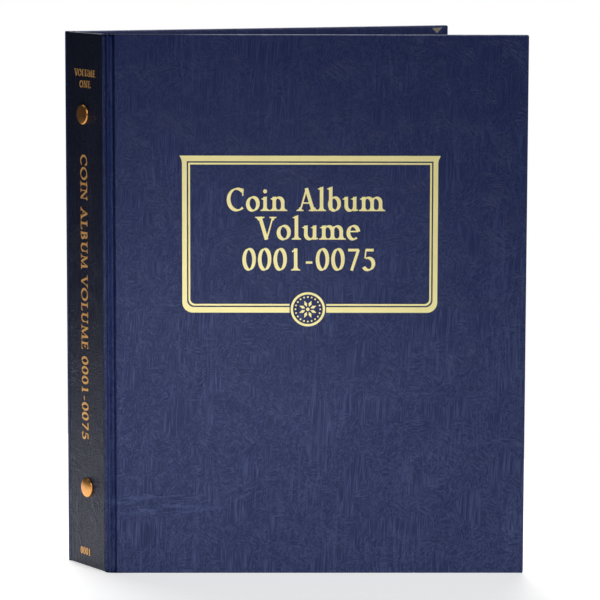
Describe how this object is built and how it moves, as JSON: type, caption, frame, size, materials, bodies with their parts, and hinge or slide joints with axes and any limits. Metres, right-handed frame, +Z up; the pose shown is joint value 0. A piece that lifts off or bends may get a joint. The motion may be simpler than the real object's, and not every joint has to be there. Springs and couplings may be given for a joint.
{
  "type": "coin album",
  "caption": "Hard-bound coin album standing slightly open, with post-bound pages of round coin openings under clear slides that pull out at the fore edge.",
  "frame": {"origin": "middle of the spine's foot, on the surface that the album stands on", "axes": "+Z up along the spine; +X away from the spine, square to it, towards the fore edges; the front cover is on the -Y side"},
  "size_m": [0.1917, 0.148, 0.252],
  "materials": {
    "leatherette": "navy embossed book cloth with a soft sheen",
    "greyboard": "raw grey board",
    "endpaper": "smooth coloured paper",
    "brass": "polished brass",
    "steel": "bright zinc-plated steel",
    "post_metal": "turned aluminium",
    "page_board": "die-cut board",
    "page_paper": "printed paper",
    "hinge_tape": "woven book tape",
    "clear_slide": "clear acetate"
  },
  "bodies": {
    "spine": {"spine_board": "greyboard", "spine_cloth": "leatherette", "spine_lining": "endpaper", "spine_rivets": "brass", "post_bracket": "steel", "binding_posts": "post_metal", "front_joint_cloth": "leatherette", "back_joint_cloth": "leatherette", "page_1_binding_strip": "page_board", "page_2_binding_strip": "page_board", "page_3_binding_strip": "page_board"},
    "front_cover": {"front_cover_board": "greyboard", "front_cover_cloth": "leatherette", "front_endpaper": "endpaper"},
    "back_cover": {"back_cover_board": "greyboard", "back_cover_cloth": "leatherette", "back_endpaper": "endpaper"},
    "lock_bar": {"lock_bar": "steel"},
    "page_1": {"page_1_core": "page_board", "page_1_front_sheet": "page_paper", "page_1_back_sheet": "page_paper", "page_1_hinge_cloth": "hinge_tape"},
    "page_1_front_slide_1": {"page_1_front_slide_1": "clear_slide"},
    "page_1_front_slide_2": {"page_1_front_slide_2": "clear_slide"},
    "page_1_front_slide_3": {"page_1_front_slide_3": "clear_slide"},
    "page_1_front_slide_4": {"page_1_front_slide_4": "clear_slide"},
    "page_1_front_slide_5": {"page_1_front_slide_5": "clear_slide"},
    "page_1_back_slide_1": {"page_1_back_slide_1": "clear_slide"},
    "page_1_back_slide_2": {"page_1_back_slide_2": "clear_slide"},
    "page_1_back_slide_3": {"page_1_back_slide_3": "clear_slide"},
    "page_1_back_slide_4": {"page_1_back_slide_4": "clear_slide"},
    "page_1_back_slide_5": {"page_1_back_slide_5": "clear_slide"},
    "page_2": {"page_2_core": "page_board", "page_2_front_sheet": "page_paper", "page_2_back_sheet": "page_paper", "page_2_hinge_cloth": "hinge_tape"},
    "page_2_front_slide_1": {"page_2_front_slide_1": "clear_slide"},
    "page_2_front_slide_2": {"page_2_front_slide_2": "clear_slide"},
    "page_2_front_slide_3": {"page_2_front_slide_3": "clear_slide"},
    "page_2_front_slide_4": {"page_2_front_slide_4": "clear_slide"},
    "page_2_front_slide_5": {"page_2_front_slide_5": "clear_slide"},
    "page_2_back_slide_1": {"page_2_back_slide_1": "clear_slide"},
    "page_2_back_slide_2": {"page_2_back_slide_2": "clear_slide"},
    "page_2_back_slide_3": {"page_2_back_slide_3": "clear_slide"},
    "page_2_back_slide_4": {"page_2_back_slide_4": "clear_slide"},
    "page_2_back_slide_5": {"page_2_back_slide_5": "clear_slide"},
    "page_3": {"page_3_core": "page_board", "page_3_front_sheet": "page_paper", "page_3_back_sheet": "page_paper", "page_3_hinge_cloth": "hinge_tape"},
    "page_3_front_slide_1": {"page_3_front_slide_1": "clear_slide"},
    "page_3_front_slide_2": {"page_3_front_slide_2": "clear_slide"},
    "page_3_front_slide_3": {"page_3_front_slide_3": "clear_slide"},
    "page_3_front_slide_4": {"page_3_front_slide_4": "clear_slide"},
    "page_3_front_slide_5": {"page_3_front_slide_5": "clear_slide"},
    "page_3_back_slide_1": {"page_3_back_slide_1": "clear_slide"},
    "page_3_back_slide_2": {"page_3_back_slide_2": "clear_slide"},
    "page_3_back_slide_3": {"page_3_back_slide_3": "clear_slide"},
    "page_3_back_slide_4": {"page_3_back_slide_4": "clear_slide"},
    "page_3_back_slide_5": {"page_3_back_slide_5": "clear_slide"}
  },
  "joints": [
    {"name": "front_hinge", "type": "hinge", "parent": "spine", "child": "front_cover", "pos_m": [0, -0.017, 0], "axis": [0, 0, -1], "range_deg": [-21, 145], "deforming": ["front_joint_cloth"]},
    {"name": "back_hinge", "type": "hinge", "parent": "spine", "child": "back_cover", "pos_m": [0, 0.017, 0], "axis": [0, 0, 1], "range_deg": [0, 194], "deforming": ["back_joint_cloth"]},
    {"name": "lock_bar_slide", "type": "slide", "parent": "spine", "child": "lock_bar", "axis": [0, 0, 1], "range_m": [0, 0.008]},
    {"name": "page_1_hinge", "type": "hinge", "parent": "spine", "child": "page_1", "pos_m": [0.0195, -0.0056, 0], "axis": [0, 0, -1], "range_deg": [-13.45, 92.81], "deforming": ["page_1_hinge_cloth"]},
    {"name": "page_1_front_slide_1_pull", "type": "slide", "parent": "page_1", "child": "page_1_front_slide_1", "axis": [0.8875, -0.4608, 0], "range_m": [0, 0.155]},
    {"name": "page_1_front_slide_2_pull", "type": "slide", "parent": "page_1", "child": "page_1_front_slide_2", "axis": [0.8875, -0.4608, 0], "range_m": [0, 0.155]},
    {"name": "page_1_front_slide_3_pull", "type": "slide", "parent": "page_1", "child": "page_1_front_slide_3", "axis": [0.8875, -0.4608, 0], "range_m": [0, 0.155]},
    {"name": "page_1_front_slide_4_pull", "type": "slide", "parent": "page_1", "child": "page_1_front_slide_4", "axis": [0.8875, -0.4608, 0], "range_m": [0, 0.155]},
    {"name": "page_1_front_slide_5_pull", "type": "slide", "parent": "page_1", "child": "page_1_front_slide_5", "axis": [0.8875, -0.4608, 0], "range_m": [0, 0.155]},
    {"name": "page_1_back_slide_1_pull", "type": "slide", "parent": "page_1", "child": "page_1_back_slide_1", "axis": [0.8875, -0.4608, 0], "range_m": [0, 0.155]},
    {"name": "page_1_back_slide_2_pull", "type": "slide", "parent": "page_1", "child": "page_1_back_slide_2", "axis": [0.8875, -0.4608, 0], "range_m": [0, 0.155]},
    {"name": "page_1_back_slide_3_pull", "type": "slide", "parent": "page_1", "child": "page_1_back_slide_3", "axis": [0.8875, -0.4608, 0], "range_m": [0, 0.155]},
    {"name": "page_1_back_slide_4_pull", "type": "slide", "parent": "page_1", "child": "page_1_back_slide_4", "axis": [0.8875, -0.4608, 0], "range_m": [0, 0.155]},
    {"name": "page_1_back_slide_5_pull", "type": "slide", "parent": "page_1", "child": "page_1_back_slide_5", "axis": [0.8875, -0.4608, 0], "range_m": [0, 0.155]},
    {"name": "page_2_hinge", "type": "hinge", "parent": "spine", "child": "page_2", "pos_m": [0.0195, 0, 0], "axis": [0, 0, -1], "range_deg": [-9.04, 62.36], "deforming": ["page_2_hinge_cloth"]},
    {"name": "page_2_front_slide_1_pull", "type": "slide", "parent": "page_2", "child": "page_2_front_slide_1", "axis": [0.9203, -0.3912, 0], "range_m": [0, 0.155]},
    {"name": "page_2_front_slide_2_pull", "type": "slide", "parent": "page_2", "child": "page_2_front_slide_2", "axis": [0.9203, -0.3912, 0], "range_m": [0, 0.155]},
    {"name": "page_2_front_slide_3_pull", "type": "slide", "parent": "page_2", "child": "page_2_front_slide_3", "axis": [0.9203, -0.3912, 0], "range_m": [0, 0.155]},
    {"name": "page_2_front_slide_4_pull", "type": "slide", "parent": "page_2", "child": "page_2_front_slide_4", "axis": [0.9203, -0.3912, 0], "range_m": [0, 0.155]},
    {"name": "page_2_front_slide_5_pull", "type": "slide", "parent": "page_2", "child": "page_2_front_slide_5", "axis": [0.9203, -0.3912, 0], "range_m": [0, 0.155]},
    {"name": "page_2_back_slide_1_pull", "type": "slide", "parent": "page_2", "child": "page_2_back_slide_1", "axis": [0.9203, -0.3912, 0], "range_m": [0, 0.155]},
    {"name": "page_2_back_slide_2_pull", "type": "slide", "parent": "page_2", "child": "page_2_back_slide_2", "axis": [0.9203, -0.3912, 0], "range_m": [0, 0.155]},
    {"name": "page_2_back_slide_3_pull", "type": "slide", "parent": "page_2", "child": "page_2_back_slide_3", "axis": [0.9203, -0.3912, 0], "range_m": [0, 0.155]},
    {"name": "page_2_back_slide_4_pull", "type": "slide", "parent": "page_2", "child": "page_2_back_slide_4", "axis": [0.9203, -0.3912, 0], "range_m": [0, 0.155]},
    {"name": "page_2_back_slide_5_pull", "type": "slide", "parent": "page_2", "child": "page_2_back_slide_5", "axis": [0.9203, -0.3912, 0], "range_m": [0, 0.155]},
    {"name": "page_3_hinge", "type": "hinge", "parent": "spine", "child": "page_3", "pos_m": [0.0195, 0.0056, 0], "axis": [0, 0, -1], "range_deg": [-4.53, 31.18], "deforming": ["page_3_hinge_cloth"]},
    {"name": "page_3_front_slide_1_pull", "type": "slide", "parent": "page_3", "child": "page_3_front_slide_1", "axis": [0.9482, -0.3176, 0], "range_m": [0, 0.155]},
    {"name": "page_3_front_slide_2_pull", "type": "slide", "parent": "page_3", "child": "page_3_front_slide_2", "axis": [0.9482, -0.3176, 0], "range_m": [0, 0.155]},
    {"name": "page_3_front_slide_3_pull", "type": "slide", "parent": "page_3", "child": "page_3_front_slide_3", "axis": [0.9482, -0.3176, 0], "range_m": [0, 0.155]},
    {"name": "page_3_front_slide_4_pull", "type": "slide", "parent": "page_3", "child": "page_3_front_slide_4", "axis": [0.9482, -0.3176, 0], "range_m": [0, 0.155]},
    {"name": "page_3_front_slide_5_pull", "type": "slide", "parent": "page_3", "child": "page_3_front_slide_5", "axis": [0.9482, -0.3176, 0], "range_m": [0, 0.155]},
    {"name": "page_3_back_slide_1_pull", "type": "slide", "parent": "page_3", "child": "page_3_back_slide_1", "axis": [0.9482, -0.3176, 0], "range_m": [0, 0.155]},
    {"name": "page_3_back_slide_2_pull", "type": "slide", "parent": "page_3", "child": "page_3_back_slide_2", "axis": [0.9482, -0.3176, 0], "range_m": [0, 0.155]},
    {"name": "page_3_back_slide_3_pull", "type": "slide", "parent": "page_3", "child": "page_3_back_slide_3", "axis": [0.9482, -0.3176, 0], "range_m": [0, 0.155]},
    {"name": "page_3_back_slide_4_pull", "type": "slide", "parent": "page_3", "child": "page_3_back_slide_4", "axis": [0.9482, -0.3176, 0], "range_m": [0, 0.155]},
    {"name": "page_3_back_slide_5_pull", "type": "slide", "parent": "page_3", "child": "page_3_back_slide_5", "axis": [0.9482, -0.3176, 0], "range_m": [0, 0.155]}
  ],
  "couplings": [
    {"joint": "page_1_hinge", "follows": "front_hinge", "ratio": 0.64},
    {"joint": "page_2_hinge", "follows": "front_hinge", "ratio": 0.43},
    {"joint": "page_3_hinge", "follows": "front_hinge", "ratio": 0.215}
  ]
}
